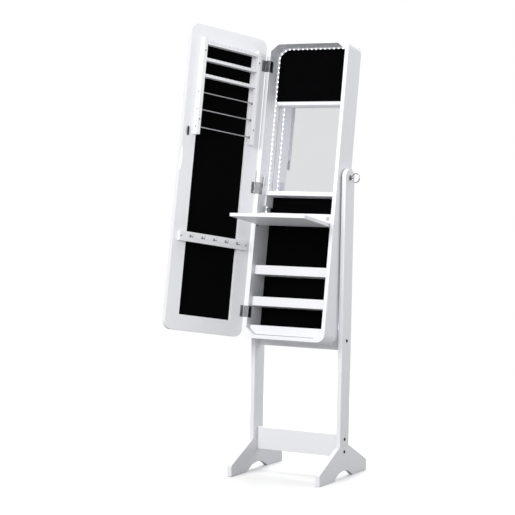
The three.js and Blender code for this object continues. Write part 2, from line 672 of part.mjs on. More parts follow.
// A comb bar between the rails, with a row of narrow earring slots cut into its front top edge.
function earringBar(top, span) {
  const front = RAIL_PROUD - 0.4;
  const bar = boxGeometry(span, [front - BAR_DEPTH, front], [top - BAR_HEIGHT, top]);
  const first = (span[0] + span[1] - SLOT_PITCH * (SLOT_COUNT - 1)) / 2;
  const slots = Array.from({ length: SLOT_COUNT }, (_, index) => {
    const x = first + SLOT_PITCH * index;
    const width = [x - SLOT_WIDTH / 2, x + SLOT_WIDTH / 2];
    return boxGeometry(width, [front - SLOT_CUT, front + 1], [top - SLOT_HEIGHT, top + 1]);
  });
  return cut(bar, ...slots);
}

function necklaceRod(z, span) {
  const rod = cylinderAlong('x', ROD_RADIUS, span[0] - ROD_REACH, span[1] + ROD_REACH, [ROD_OUT, z], 16);
  const cups = span.map((x, index) => {
    const inward = index === 0 ? [x + GAP, x + CUP.length] : [x - CUP.length, x - GAP];
    return cylinderAlong('x', ROD_RADIUS + CUP.flare, ...inward, [ROD_OUT, z], 16);
  });
  return join(rod, ...cups);
}

function hook(x, z) {
  const base = HOOK_RAIL.thick + GAP;
  const rose = cylinderAlong('y', 5, base, base + 1.6, [x, z], 16);
  const points = HOOK_PATH.map(([out, rise]) => new THREE.Vector3(x, base + out, z + rise));
  const path = new THREE.CatmullRomCurve3(points);
  const section = new THREE.Shape().absarc(0, 0, HOOK_WIRE, 0, Math.PI * 2, false);
  const wire = new THREE.ExtrudeGeometry(section, { extrudePath: path, steps: 12, curveSegments: 4 });
  return join(rose, wire);
}

function buildDoor(group) {
  addPart(group, 'door_frame', doorFrame(), whitePaint);
  addPart(group, 'door_felt_panel', doorPane(GAP, -WINDOW_DEPTH - 1.6, -WINDOW_DEPTH - GAP), felt);
  addPart(group, 'outer_mirror', doorPane(GAP, -DOOR_THICK + 0.2, -WINDOW_DEPTH - 1.9), mirror);

  const rails = {
    hinge: [RAIL_INSET, RAIL_INSET + RAIL_WIDTH],
    free: [DOOR_WIDTH - RAIL_INSET - RAIL_WIDTH, DOOR_WIDTH - RAIL_INSET],
  };
  const span = [rails.hinge[1], rails.free[0]];
  const rodHole = (xs, z) => cylinderAlong('x', ROD_RADIUS + GAP, xs[0], xs[1], [ROD_OUT, z], 16);
  const rodHoles = (xs) => ROD_HEIGHTS.map((z) => rodHole(xs, z));
  const leftHoles = rodHoles([span[0] - ROD_REACH - 1, span[0] + 1]);
  const rightHoles = rodHoles([span[1] - 1, span[1] + ROD_REACH + 1]);
  addPart(group, 'rail_hinge_side', cut(railBoard(rails.hinge), ...leftHoles), whitePaint);
  addPart(group, 'rail_free_side', cut(railBoard(rails.free), ...rightHoles), whitePaint);
  const barSpan = [span[0] + GAP, span[1] - GAP];
  BAR_TOPS.forEach((top, index) => {
    addPart(group, `earring_bar_${index + 1}`, earringBar(top, barSpan), whitePaint);
  });
  ROD_HEIGHTS.forEach((z, index) => {
    addPart(group, `necklace_rod_${index + 1}`, necklaceRod(z, span), chrome);
  });

  const { start, end, bottom, top, thick } = HOOK_RAIL;
  addPart(group, 'hook_rail', boxGeometry([start, end], [GAP, thick], [bottom, top]), whitePaint);
  const hookZ = (bottom + top) / 2 + 3;
  HOOK_POSITIONS.forEach((x, index) => addPart(group, `hook_${index + 1}`, hook(x, hookZ), chrome));
  HINGE_CENTRES.forEach((z, index) => addPart(group, `door_hinge_leaf_${index + 1}`, doorHinge(z), steel));
  addPart(group, 'lock_barrel', lockBarrel(), chrome);
}

function railBoard(xs) {
  return boxGeometry(xs, [GAP, RAIL_PROUD], [RAIL.bottom, RAIL.top]);
}

function lockBarrel() {
  const centre = [LOCK_X, LOCK_Z];
  const body = cylinderAlong('y', LOCK_RADIUS, -DOOR_THICK - 0.5, -1, centre, 20);
  const face = cylinderAlong('y', LOCK_RADIUS + 1.5, -DOOR_THICK - 2, -DOOR_THICK - GAP, centre, 24);
  const keyDepth = [-DOOR_THICK - 4, -DOOR_THICK + 3];
  const keyway = boxGeometry([LOCK_X - 0.8, LOCK_X + 0.8], keyDepth, [LOCK_Z - 3.5, LOCK_Z + 3.5]);
  return cut(join(body, face), keyway);
}

function lockCam() {
  const { halfWidth: across, halfLength: along, thick } = CAM;
  const spanX = [LOCK_X - across, LOCK_X + across];
  const spanZ = [LOCK_Z - along, LOCK_Z + along];
  const arm = roundedRectangle(...spanX, ...spanZ, across - 0.1);
  return slabAlongY(arm, 0.4, 0.4 + thick, 4);
}

// ---------------------------------------------------------------- assembly

const armoire = new THREE.Group();
buildStand(armoire);
addPart(armoire, 'ring_pin', ringPin(), chrome);

const cabinet = new THREE.Group();
cabinet.position.set(0, 0, RING_PIN_Z);
cabinet.rotation.x = -tilt;
armoire.add(cabinet);
buildCarcass(cabinet);
buildShelves(cabinet);
buildLinings(cabinet);
buildCabinetHardware(cabinet);
addPart(cabinet, 'light_button', lightButton(), greyPlastic);

const trayGroup = new THREE.Group();
trayGroup.position.set(0, LIP_FRONT - TRAY_THICK / 2 - 0.6, TRAY_TOP - TRAY_THICK / 2);
cabinet.add(trayGroup);
addPart(trayGroup, 'tray', tray(), whitePaint);

const door = new THREE.Group();
door.position.set(HINGE_X, HINGE_Y, 0);
door.rotation.z = -rad(DOOR_OPEN);
cabinet.add(door);
buildDoor(door);
addPart(door, 'lock_cam', lockCam(), steel);

// The origin is on the floor, under the middle of the whole object's box.
armoire.updateMatrixWorld(true);
const extent = new THREE.Box3().setFromObject(armoire, true);
const middle = extent.getCenter(new THREE.Vector3());
armoire.position.set(-middle.x, -middle.y, -extent.min.z);

export default armoire;
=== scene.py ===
import json
import math

import bmesh
import bpy
from bpy.props import FloatProperty, FloatVectorProperty, IntProperty, PointerProperty
from mathutils import Matrix, Vector

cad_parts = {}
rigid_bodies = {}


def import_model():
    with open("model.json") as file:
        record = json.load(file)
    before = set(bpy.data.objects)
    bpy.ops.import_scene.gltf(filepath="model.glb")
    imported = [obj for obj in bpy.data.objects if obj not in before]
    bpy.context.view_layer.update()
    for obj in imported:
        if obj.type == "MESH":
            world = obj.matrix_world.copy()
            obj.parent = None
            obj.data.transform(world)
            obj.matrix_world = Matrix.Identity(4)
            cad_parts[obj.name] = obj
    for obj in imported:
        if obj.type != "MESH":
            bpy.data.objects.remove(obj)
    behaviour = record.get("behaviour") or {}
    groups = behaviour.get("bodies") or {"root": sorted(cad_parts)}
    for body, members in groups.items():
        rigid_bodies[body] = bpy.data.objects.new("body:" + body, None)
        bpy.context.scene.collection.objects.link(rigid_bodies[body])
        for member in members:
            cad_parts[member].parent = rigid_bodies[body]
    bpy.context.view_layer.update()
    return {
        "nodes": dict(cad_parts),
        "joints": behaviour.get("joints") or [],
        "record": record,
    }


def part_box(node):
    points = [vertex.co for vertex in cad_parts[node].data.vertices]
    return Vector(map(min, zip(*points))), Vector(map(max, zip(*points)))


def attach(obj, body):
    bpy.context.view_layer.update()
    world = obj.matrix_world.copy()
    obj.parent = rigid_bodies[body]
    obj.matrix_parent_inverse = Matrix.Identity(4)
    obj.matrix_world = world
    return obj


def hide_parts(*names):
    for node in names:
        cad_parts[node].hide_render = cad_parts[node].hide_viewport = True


for leftover in list(bpy.data.objects):
    bpy.data.objects.remove(leftover)

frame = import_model()

bl_info = {
    "name": "Jewelry armoire",
    "version": (1, 0, 0),
    "blender": (4, 5, 0),
    "location": "View3D > Sidebar > Armoire",
    "description": "Dresses a tilting jewelry armoire with paint, felt, mirrors and fittings",
    "category": "Object",
}

NODES = frame["nodes"]
JOINTS = {joint["name"]: joint for joint in frame["joints"]}
MM = 0.001
SAME_POINT = 0.002 * MM
BODY_OF = {node: body for body, names in frame["record"]["behaviour"]["bodies"].items() for node in names}
SLOT_OF = {row["node"]: row["material_slot"] for row in frame["record"]["subparts"]}


# ------------------------------------------------------------------ frames of reference

def joint_point(name):
    return Vector(JOINTS[name]["pos_m"])


def cabinet_axes():
    """Across, back and up along the leaning cabinet, as unit vectors of the whole object's frame."""
    up = -Vector(JOINTS["door_swing"]["axis"]).normalized()
    across = Vector((1, 0, 0))
    return across, up.cross(across).normalized(), up


def door_axes():
    """Along the door from its hinge, out of its inner face, and up its hinge line."""
    up = cabinet_axes()[2]
    out = Vector(JOINTS["lock_turn"]["axis"]).normalized()
    return out.cross(up).normalized(), out, up


def place(origin, axes):
    """The matrix that takes a frame with these axes and origin to the whole object's frame."""
    turn = Matrix(axes).transposed().to_4x4()
    return Matrix.Translation(origin) @ turn


def middle_between(*nodes):
    boxes = [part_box(node) for node in nodes]
    return sum((low + high for low, high in boxes), Vector()) / (2 * len(boxes))


PIN_ABOVE_PIVOT = 50 * MM
PIVOT = joint_point("cabinet_tilt")
CENTRE_X = middle_between("left_upright", "right_upright").x
CABINET = place(Vector((CENTRE_X, PIVOT.y, PIVOT.z + PIN_ABOVE_PIVOT)), cabinet_axes())
DOOR = place(joint_point("door_swing"), door_axes())
STAND = Matrix.Translation(Vector((CENTRE_X, PIVOT.y, 0)))


def local_box(node, matrix):
    """Lowest and highest corner of a node in a leaning or turned frame."""
    inverse = matrix.inverted()
    points = [inverse @ vertex.co for vertex in NODES[node].data.vertices]
    low = Vector([min(point[axis] for point in points) for axis in range(3)])
    high = Vector([max(point[axis] for point in points) for axis in range(3)])
    return low, high


def local_middle(node, matrix):
    low, high = local_box(node, matrix)
    return (low + high) / 2


def facing(matrix, point, direction):
    """The matrix that takes a piece made along +Z at the origin to a point and a direction of a frame."""
    turn = (matrix.to_3x3() @ Vector(direction)).to_track_quat("Z", "Y")
    return Matrix.LocRotScale(matrix @ Vector(point), turn, None)


# ------------------------------------------------------------------ settings

class PaintSettings(bpy.types.PropertyGroup):
    colour: FloatVectorProperty(
        name="Paint", description="Colour of the white paint", subtype="COLOR", size=3,
        default=(0.83, 0.834, 0.865), min=0, max=1)
    ease: FloatProperty(
        name="Eased edges", description="Width of the rounding along the boards' edges", unit="LENGTH",
        default=1.1 * MM, min=0.2 * MM, max=3 * MM)
    roughness: FloatProperty(
        name="Roughness", description="How dull the paint is", subtype="FACTOR", default=0.36, min=0, max=1)


class FeltSettings(bpy.types.PropertyGroup):
    colour: FloatVectorProperty(
        name="Felt", description="Colour of the lining felt", subtype="COLOR", size=3,
        default=(0.0014, 0.0014, 0.0017), min=0, max=1)


class FittingSettings(bpy.types.PropertyGroup):
    steel: FloatVectorProperty(
        name="Steel", description="Colour of hinges, bolts and tray stops", subtype="COLOR", size=3,
        default=(0.2, 0.2, 0.21), min=0, max=1)
    chrome: FloatVectorProperty(
        name="Chrome", description="Colour of rods, hooks and ring", subtype="COLOR", size=3,
        default=(0.4, 0.4, 0.42), min=0, max=1)
    stand_screw: FloatProperty(
        name="Stand screw", description="Head diameter of the stand's socket screws", unit="LENGTH",
        default=10.5 * MM, min=4 * MM, max=14 * MM)
    rail_screw: FloatProperty(
        name="Rail screw", description="Head diameter of the screws in the door's rails", unit="LENGTH",
        default=5.6 * MM, min=3 * MM, max=9 * MM)


class TapeSettings(bpy.types.PropertyGroup):
    pitch: FloatProperty(
        name="Light pitch", description="Distance between the lights on the tape", unit="LENGTH",
        default=16.6 * MM, min=8 * MM, max=40 * MM)
    glow: FloatProperty(
        name="Glow", description="How strongly the lights shine", default=3.0, min=0, max=20)
    lens_sides: IntProperty(
        name="Light roundness", description="Sides of each light's round window", default=12, min=6, max=24)


class StageSettings(bpy.types.PropertyGroup):
    floor: FloatVectorProperty(
        name="Floor", description="Colour of the floor", subtype="COLOR", size=3,
        default=(0.9, 0.9, 0.9), min=0, max=1)
    lens: FloatProperty(
        name="Lens", description="Focal length in millimetres on a 36 mm sensor", default=107.2,
        min=20, max=300)
    viewpoint: FloatVectorProperty(
        name="Viewpoint", description="Camera's place from the middle of the stand", subtype="TRANSLATION",
        unit="LENGTH", size=3, default=(2.2239, -4.6546, 0.9467))
    heading: FloatProperty(
        name="Heading", description="Turn of the camera to the left of straight ahead", unit="ROTATION",
        default=math.radians(27.22))
    tilt: FloatProperty(
        name="Tilt", description="Rise of the camera's line of sight", unit="ROTATION",
        default=math.radians(-2.44))
    roll: FloatProperty(
        name="Roll", description="Roll of the camera", unit="ROTATION", default=math.radians(1.16))


# ------------------------------------------------------------------ shader helpers

class Signal:
    """A value in a node tree. Arithmetic on it adds the Math nodes that work it out."""

    def __init__(self, shader, socket):
        self.shader = shader
        self.socket = socket

    def math(self, operation, *values):
        return self.shader.node("ShaderNodeMath", {"operation": operation}, dict(enumerate(values)))

    def __add__(self, other):
        return self.math("ADD", self, other)

    def __radd__(self, other):
        return self.math("ADD", other, self)

    def __mul__(self, other):
        return self.math("MULTIPLY", self, other)


class Shader:
    """A material in the making: one Principled surface and the nodes that vary it."""

    def __init__(self, name, uniform):
        self.material = bpy.data.materials.new(name)
        self.material.use_nodes = True
        self.tree = self.material.node_tree
        self.surface = self.tree.nodes["Principled BSDF"]
        for socket, value in uniform.items():
            self.surface.inputs[socket].default_value = value

    def feed(self, socket, value):
        if isinstance(value, Signal):
            self.tree.links.new(value.socket, socket)
        elif socket.type == "RGBA":
            socket.default_value = (*tuple(value)[:3], 1)
        else:
            socket.default_value = value

    def node(self, kind, settings=None, inputs=None, output=0):
        """Adds a node: its settings first, a ramp's stops among them, then its sockets' values or links."""
        node = self.tree.nodes.new(kind)
        for key, value in (settings or {}).items():
            if key == "stops":
                for element, (position, shade) in zip(node.color_ramp.elements, value):
                    element.position = position
                    element.color = (shade, shade, shade, 1)
            else:
                setattr(node, key, value)
        for key, value in (inputs or {}).items():
            self.feed(node.inputs[key], value)
        return Signal(self, node.outputs[output])

    def coordinates(self, stretch=(1, 1, 1), turn=(0, 0, 0)):
        here = self.node("ShaderNodeTexCoord", output="Object")
        return self.node("ShaderNodeMapping", None, {"Vector": here, "Rotation": turn, "Scale": stretch})

    def noise(self, where, scale, detail=3.0, roughness=0.55):
        sockets = {"Vector": where, "Scale": scale, "Detail": detail, "Roughness": roughness}
        return self.node("ShaderNodeTexNoise", None, sockets)

    def ramp(self, value, low, high):
        return self.node("ShaderNodeValToRGB", {"stops": [(low, 0), (high, 1)]}, {"Fac": value})

    def mix(self, factor, first, second):
        return self.node("ShaderNodeMix", {"data_type": "RGBA"}, {0: factor, 6: first, 7: second}, output=2)

    def bump(self, height, strength, distance):
        sockets = {"Strength": strength, "Distance": distance, "Height": height}
        self.output("Normal", self.node("ShaderNodeBump", None, sockets))

    def output(self, socket, value):
        self.feed(self.surface.inputs[socket], value)


def shade(colour, factor):
    return tuple(channel * factor for channel in tuple(colour)[:3])


# ------------------------------------------------------------------ finishes

def paint_finish(settings):
    """Sprayed satin paint on fibreboard: faint orange peel, soft clouds of gloss and handling haze."""
    paint = Shader("white_satin_paint", {
        "Specular IOR Level": 0.45, "Coat Weight": 0.12, "Coat Roughness": 0.25})
    here = paint.coordinates()
    clouds = paint.noise(here, 5.0, detail=2.0)
    peel = paint.noise(here, 620.0, detail=2.0)
    fibre = paint.noise(paint.coordinates(stretch=(1, 1, 0.25)), 210.0, detail=4.0)
    haze = paint.ramp(paint.noise(here, 16.0, detail=5.0), 0.35, 0.75)
    colour = paint.mix(clouds, shade(settings.colour, 0.985), settings.colour)
    colour = paint.mix(haze * 0.35, colour, shade(settings.colour, 0.965))
    paint.output("Base Color", colour)
    paint.output("Roughness", settings.roughness - 0.05 + haze * 0.1 + peel * 0.05)
    paint.bump(peel * 0.7 + fibre * 0.3, 0.22, 0.12 * MM)
    return paint.material


def felt_finish(settings):
    """Dense black felt: matted fibres in two sizes, a nap that lies in patches and a few grey fibres."""
    felt = Shader("black_felt", {"Specular IOR Level": 0.02})
    here = felt.coordinates()
    fibres = felt.noise(here, 1500.0, detail=5.0, roughness=0.7)
    strands = felt.noise(felt.coordinates(stretch=(1, 1, 0.3), turn=(0.3, 0.5, 0.2)), 700.0, detail=4.0)
    nap = felt.noise(here, 14.0, detail=3.0)
    lint = felt.ramp(strands, 0.66, 0.76)
    colour = felt.mix(fibres, shade(settings.colour, 0.5), shade(settings.colour, 1.7))
    colour = felt.mix(nap * 0.5, colour, shade(settings.colour, 1.4))
    colour = felt.mix(lint * 0.4, colour, shade(settings.colour, 5.0))
    felt.output("Base Color", colour)
    felt.output("Roughness", 0.9 + fibres * 0.1)
    felt.bump(fibres * 0.6 + strands * 0.4, 0.8, 0.35 * MM)
    return felt.material


def mirror_finish():
    """Silvered glass with a trace of polishing haze."""
    mirror = Shader("mirror_glass", {"Metallic": 1.0, "Coat Weight": 0.3, "Coat Roughness": 0.01})
    here = mirror.coordinates()
    haze = mirror.noise(here, 7.0, detail=4.0)
    wipes = mirror.noise(mirror.coordinates(stretch=(1, 1, 0.2), turn=(0, 0.4, 0)), 40.0, detail=3.0)
    mirror.output("Base Color", mirror.mix(haze, (0.84, 0.855, 0.875), (0.88, 0.89, 0.905)))
    mirror.output("Roughness", 0.012 + haze * wipes * 0.03)
    return mirror.material


def metal_finish(name, colour, roughness, brush):
    """Plated metal: fine draw lines along the piece, cloudy gloss and faint fingerprints."""
    metal = Shader(name, {"Metallic": 1.0})
    here = metal.coordinates()
    lines = metal.noise(metal.coordinates(stretch=(1, 1, 0.04)), 2600.0, detail=3.0)
    clouds = metal.noise(here, 90.0, detail=4.0)
    marks = metal.ramp(metal.noise(here, 260.0, detail=3.0), 0.55, 0.8)
    metal.output("Base Color", metal.mix(clouds, shade(colour, 0.86), shade(colour, 1.1)))
    metal.output("Roughness", roughness + clouds * 0.1 + marks * 0.08)
    metal.bump(lines, brush, 0.05 * MM)
    return metal.material


def plastic_finish(name, colour, roughness):
    """Moulded plastic with a fine spark-eroded texture."""
    plastic = Shader(name, {"Specular IOR Level": 0.5})
    here = plastic.coordinates()
    texture = plastic.noise(here, 2200.0, detail=2.0)
    clouds = plastic.noise(here, 60.0, detail=3.0)
    plastic.output("Base Color", plastic.mix(clouds, shade(colour, 0.94), colour))
    plastic.output("Roughness", roughness + clouds * 0.12)
    plastic.bump(texture, 0.25, 0.06 * MM)
    return plastic.material


def hardboard_finish():
    """The back panel: pale coated hardboard with its pressed fibres showing through."""
    board = Shader("white_hardboard", {"Specular IOR Level": 0.3})
    here = board.coordinates()
    fibres = board.noise(board.coordinates(stretch=(1, 1, 0.35)), 420.0, detail=5.0, roughness=0.65)
    blotches = board.noise(here, 9.0, detail=3.0)
    colour = board.mix(blotches, (0.74, 0.735, 0.72), (0.8, 0.795, 0.785))
    board.output("Base Color", board.mix(board.ramp(fibres, 0.6, 0.8) * 0.3, colour, (0.62, 0.58, 0.52)))
    board.output("Roughness", 0.55 + fibres * 0.2)
    board.bump(fibres, 0.35, 0.15 * MM)
    return board.material


def tape_finish():
    """The white flexible strip under the lights, with a faint gloss and a painted glow of their light."""
    # The strip gives no light of its own: its emission here is a painted glow of the lights on it.
    tape = Shader("light_tape", {"Specular IOR Level": 0.5, "Emission Strength": 0.3})
    here = tape.coordinates()
    clouds = tape.noise(here, 140.0, detail=2.0)
    tape.output("Base Color", tape.mix(clouds, (0.74, 0.75, 0.77), (0.82, 0.83, 0.85)))
    tape.output("Roughness", 0.3 + clouds * 0.15)
    tape.output("Emission Color", (0.95, 0.97, 1.0))
    return tape.material


def light_finish(glow):
    """A light's window: warm gel that shines white."""
    light = Shader("light_window", {"Roughness": 0.25, "Emission Strength": glow})
    gel = light.noise(light.coordinates(), 900.0, detail=2.0)
    light.output("Base Color", light.mix(gel, (0.8, 0.78, 0.6), (0.86, 0.85, 0.75)))
    light.output("Emission Color", light.mix(gel, (0.95, 0.97, 1.0), (1.0, 1.0, 1.0)))
    return light.material


FINISHES = {}


def make_finishes(scene):
    fittings = scene.armoire_fittings
    FINISHES.update({
        "white_paint": paint_finish(scene.armoire_paint),
        "black_felt": felt_finish(scene.armoire_felt),
        "mirror_glass": mirror_finish(),
        "steel_fitting": metal_finish("brushed_steel", fittings.steel, 0.26, 0.3),
        "chrome_wire": metal_finish("bright_chrome", fittings.chrome, 0.1, 0.06),
        "dark_cam": metal_finish("dark_cam", shade(fittings.steel, 0.35), 0.36, 0.2),
        "dark_screw": metal_finish("blackened_screw", shade(fittings.steel, 0.12), 0.4, 0.2),
        "led_tape": tape_finish(),
        "light": light_finish(scene.armoire_tape.glow),
        "grey_plastic": plastic_finish("grey_plastic", (0.44, 0.445, 0.47), 0.4),
        "white_plastic": plastic_finish("white_plastic", (0.78, 0.785, 0.8), 0.4),
        "white_hardboard": hardboard_finish(),
    })


def finish_named(name):
    """One of the finishes; all of them are made when the first is asked for."""
    if not FINISHES:
        make_finishes(bpy.context.scene)
    return FINISHES[name]


# ------------------------------------------------------------------ mesh helpers

def activate(piece):
    bpy.ops.object.select_all(action="DESELECT")
    piece.select_set(True)
    bpy.context.view_layer.objects.active = piece


def named(name):
    """The object that was just made, with the name on it and on its mesh."""
    piece = bpy.context.object
    piece.name = name
    piece.data.name = name
    return piece


def pick_edges(piece, test):
    """In edit mode, selects only the edges that pass a test of their middle and of themselves."""
    bpy.ops.mesh.select_mode(type="EDGE")
    bpy.ops.mesh.select_all(action="DESELECT")
    mesh = bmesh.from_edit_mesh(piece.data)
    mesh.normal_update()
    for edge in mesh.edges:
        edge.select_set(test((edge.verts[0].co + edge.verts[1].co) / 2, edge))
    bmesh.update_edit_mesh(piece.data)


def close_edit():
    bpy.ops.object.mode_set(mode="OBJECT")


def weld():
    """In edit mode, merges points that coincide, turns the faces outward and closes the edit."""
    bpy.ops.mesh.select_all(action="SELECT")
    bpy.ops.mesh.remove_doubles(threshold=SAME_POINT)
    bpy.ops.mesh.normals_make_consistent(inside=False)
    close_edit()


def apply_modifier(piece, kind, **settings):
    activate(piece)
    modifier = piece.modifiers.new(kind.title(), kind)
    for key, value in settings.items():
        setattr(modifier, key, value)
    bpy.ops.object.modifier_apply(modifier=modifier.name)


def carve(piece, cutter):
    apply_modifier(piece, "BOOLEAN", operation="DIFFERENCE", object=cutter, solver="EXACT")
    bpy.data.objects.remove(cutter)


def smooth(piece, angle=40.0):
    activate(piece)
    bpy.ops.object.shade_smooth_by_angle(angle=math.radians(angle))


def settle(piece, matrix=None):
    """Puts the piece's place into its mesh."""
    activate(piece)
    if matrix is not None:
        piece.matrix_world = matrix @ piece.matrix_world
    bpy.ops.object.transform_apply(location=True, rotation=True, scale=True)


def copies(piece, matrices):
    """One copy of a model, with its own mesh, at each place; the model itself is used up."""
    placed = []
    for matrix in matrices:
        twin = piece.copy()
        twin.data = piece.data.copy()
        bpy.context.scene.collection.objects.link(twin)
        settle(twin, matrix)
        placed.append(twin)
    bpy.data.objects.remove(piece)
    return placed


def join(name, pieces):
    activate(pieces[0])
    for piece in pieces:
        piece.select_set(True)
    bpy.ops.object.join()
    return named(name)


def paint_with(piece, finish):
    piece.data.materials.clear()
    piece.data.materials.append(finish_named(finish))


def paint_between(piece, finish, matrix, first, last):
    """Gives a second finish to the faces whose middles lie between two depths of a frame."""
    inverse = matrix.inverted()
    piece.data.materials.append(finish_named(finish))
    for face in piece.data.polygons:
        if first < (inverse @ face.center).y < last:
            face.material_index = 1


def dress(piece, body, finish=None):
    """Gives a piece its body, and a finish unless it has its own."""
    if finish is not None:
        paint_with(piece, finish)
    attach(piece, body)


def dress_as(piece, node):
    """Dresses a piece in its node's finish, on its node's body, and hides the node."""
    dress(piece, BODY_OF[node], SLOT_OF[node])
    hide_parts(node)


def trace(name, points):
    """Begins a piece as a line through the points, and leaves it open for editing."""
    bpy.ops.object.select_all(action="DESELECT")
    bpy.ops.mesh.primitive_plane_add(size=MM)
    piece = named(name)
    bpy.ops.object.mode_set(mode="EDIT")
    bpy.ops.mesh.select_mode(type="VERT")
    bpy.ops.mesh.select_all(action="SELECT")
    bpy.ops.mesh.merge(type="CENTER")
    bpy.ops.transform.translate(value=points[0])
    for here, after in zip(points, points[1:]):
        bpy.ops.mesh.extrude_region_move(TRANSFORM_OT_translate={"value": after - here})
    return piece


def lathe(name, profile, steps=32):
    """Turns a profile of (radius, height) points about the Z axis; it starts and ends on the axis."""
    piece = trace(name, [Vector((radius, 0, height)) for radius, height in profile])
    bpy.ops.mesh.select_all(action="SELECT")
    bpy.ops.mesh.spin(steps=steps, angle=2 * math.pi, center=(0, 0, 0), axis=(0, 0, 1))
    weld()
    return piece


def arc(radius, centre, first, last, steps=6):
    """Points of a round stretch of a profile, from one angle to another, in degrees."""
    points = []
    for index in range(steps + 1):
        angle = math.radians(first + (last - first) * index / steps)
        points.append((centre[0] + radius * math.cos(angle), centre[1] + radius * math.sin(angle)))
    return points


def wire(name, points, radius, cyclic=False):
    """A bent wire through the points, made as a curve and turned into a mesh."""
    bpy.ops.object.select_all(action="DESELECT")
    bpy.ops.curve.primitive_bezier_curve_add()
    curve = bpy.context.object
    spline = curve.data.splines[0]
    spline.bezier_points.add(len(points) - 2)
    for knot, point in zip(spline.bezier_points, points):
        knot.co = point
        knot.handle_left_type = "AUTO"
        knot.handle_right_type = "AUTO"
    spline.use_cyclic_u = cyclic
    curve.data.bevel_depth = radius
    curve.data.bevel_resolution = 4
    curve.data.resolution_u = 8
    curve.data.use_fill_caps = not cyclic
    curve.matrix_world = Matrix.Identity(4)
    bpy.ops.object.convert(target="MESH")
    piece = named(name)
    bpy.ops.object.mode_set(mode="EDIT")
    weld()
    return piece


FLAT = math.radians(0.5)
SHARP = math.radians(25)


def board(node, ease, skip=None, segments=2, rounded=None, radius=0.0):
    """A board or plate taken from its CAD node, with its sharp edges eased, that stands for the node.

    The edges that pass the rounded test get a round of their own radius first, and those that pass
    the skip test are left sharp.
    """
    piece = bpy.data.objects.new(f"{node}_eased", NODES[node].data.copy())
    piece.data.name = piece.name
    bpy.context.scene.collection.objects.link(piece)
    activate(piece)
    if piece.data.has_custom_normals:
        bpy.ops.mesh.customdata_custom_splitnormals_clear()
    bpy.ops.object.mode_set(mode="EDIT")
    bpy.ops.mesh.select_all(action="SELECT")
    bpy.ops.mesh.remove_doubles(threshold=0.005 * MM)
    bpy.ops.mesh.dissolve_limited(angle_limit=FLAT)

    def sharp(middle, edge):
        if len(edge.link_faces) != 2 or (skip is not None and skip(middle)):
            return False
        return edge.calc_face_angle(0) > SHARP

    if rounded is not None:
        pick_edges(piece, rounded)
        bpy.ops.mesh.bevel(offset=radius, segments=8, affect="EDGES", clamp_overlap=True)
    pick_edges(piece, sharp)
    bpy.ops.mesh.bevel(offset=ease, segments=segments, affect="EDGES", clamp_overlap=True)
    close_edit()
    smooth(piece, 50.0)
    apply_modifier(piece, "WEIGHTED_NORMAL", keep_sharp=True)
    dress_as(piece, node)
    return piece


def hex_screw(name, diameter):
    """A low button head with a hexagon socket."""
    radius = diameter / 2
    height = 0.22 * diameter
    rim = arc(0.5 * height, (radius - 0.5 * height, 0.5 * height), 0, 90, 4)
    head = lathe(name, [(0, -height), (radius, -height), *rim, (0, height * 1.05)])
    bpy.ops.object.select_all(action="DESELECT")
    bpy.ops.mesh.primitive_cylinder_add(
        vertices=6, radius=0.5 * radius, depth=height, location=(0, 0, height))
    carve(head, bpy.context.object)
    smooth(head)
    return head


def cross_screw(name, diameter):
    """A countersunk head with a cross recess."""
    radius = diameter / 2
    rise = 0.1 * diameter
    rim = arc(0.6 * rise, (radius - 0.6 * rise, 0.3 * rise), 0, 80, 3)
    head = lathe(name, [(0, -rise * 3), (radius * 0.6, -rise * 3), *rim, (0, rise * 1.15)])
    for turn in (0, math.pi / 2):
        bpy.ops.object.select_all(action="DESELECT")
        bpy.ops.mesh.primitive_cube_add(size=1, location=(0, 0, rise), rotation=(0, 0, turn))
        blade = bpy.context.object
        blade.scale = (1.15 * radius, 0.26 * radius, 2.2 * rise)
        settle(blade)
        carve(head, blade)
    smooth(head)
    return head


def fixings(name, body, finish, model, places):
    """A group of screws or nails of one model as one piece."""
    dress(join(name, copies(model, places)), body, finish)


# ------------------------------------------------------------------ stand

STAND_OUTER = local_box("right_upright", STAND)[1].x


class ARMOIRE_OT_stand_boards(bpy.types.Operator):
    """Dress the uprights, feet and cross boards"""
    bl_idname = "armoire.stand_boards"
    bl_label = "Stand boards"

    def execute(self, context):
        ease = context.scene.armoire_paint.ease
        for node in ("left_upright", "right_upright", "left_foot", "right_foot"):
            board(node, ease, segments=3)
        for node in ("lower_cross_board", "upper_cross_board"):
            board(node, ease)
        return {"FINISHED"}


class ARMOIRE_OT_stand_screws(bpy.types.Operator):
    """Make the socket screws that hold the cross boards and feet"""
    bl_idname = "armoire.stand_screws"
    bl_label = "Stand screws"

    BELOW_MIDDLE = 3 * MM
    ABOVE_SEAM = 22 * MM
    BELOW_SEAM = 20 * MM

    def execute(self, context):
        middle = middle_between("upper_cross_board").z
        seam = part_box("right_foot")[1].z
        heights = (middle - self.BELOW_MIDDLE, seam + self.ABOVE_SEAM, seam - self.BELOW_SEAM)
        places = []
        for side in (-1, 1):
            for height in heights:
                places.append(facing(STAND, (side * STAND_OUTER, 0, height), (side, 0, 0)))
        model = hex_screw("stand_screw_model", context.scene.armoire_fittings.stand_screw)
        fixings("stand_screws", "stand", "dark_screw", model, places)
        return {"FINISHED"}


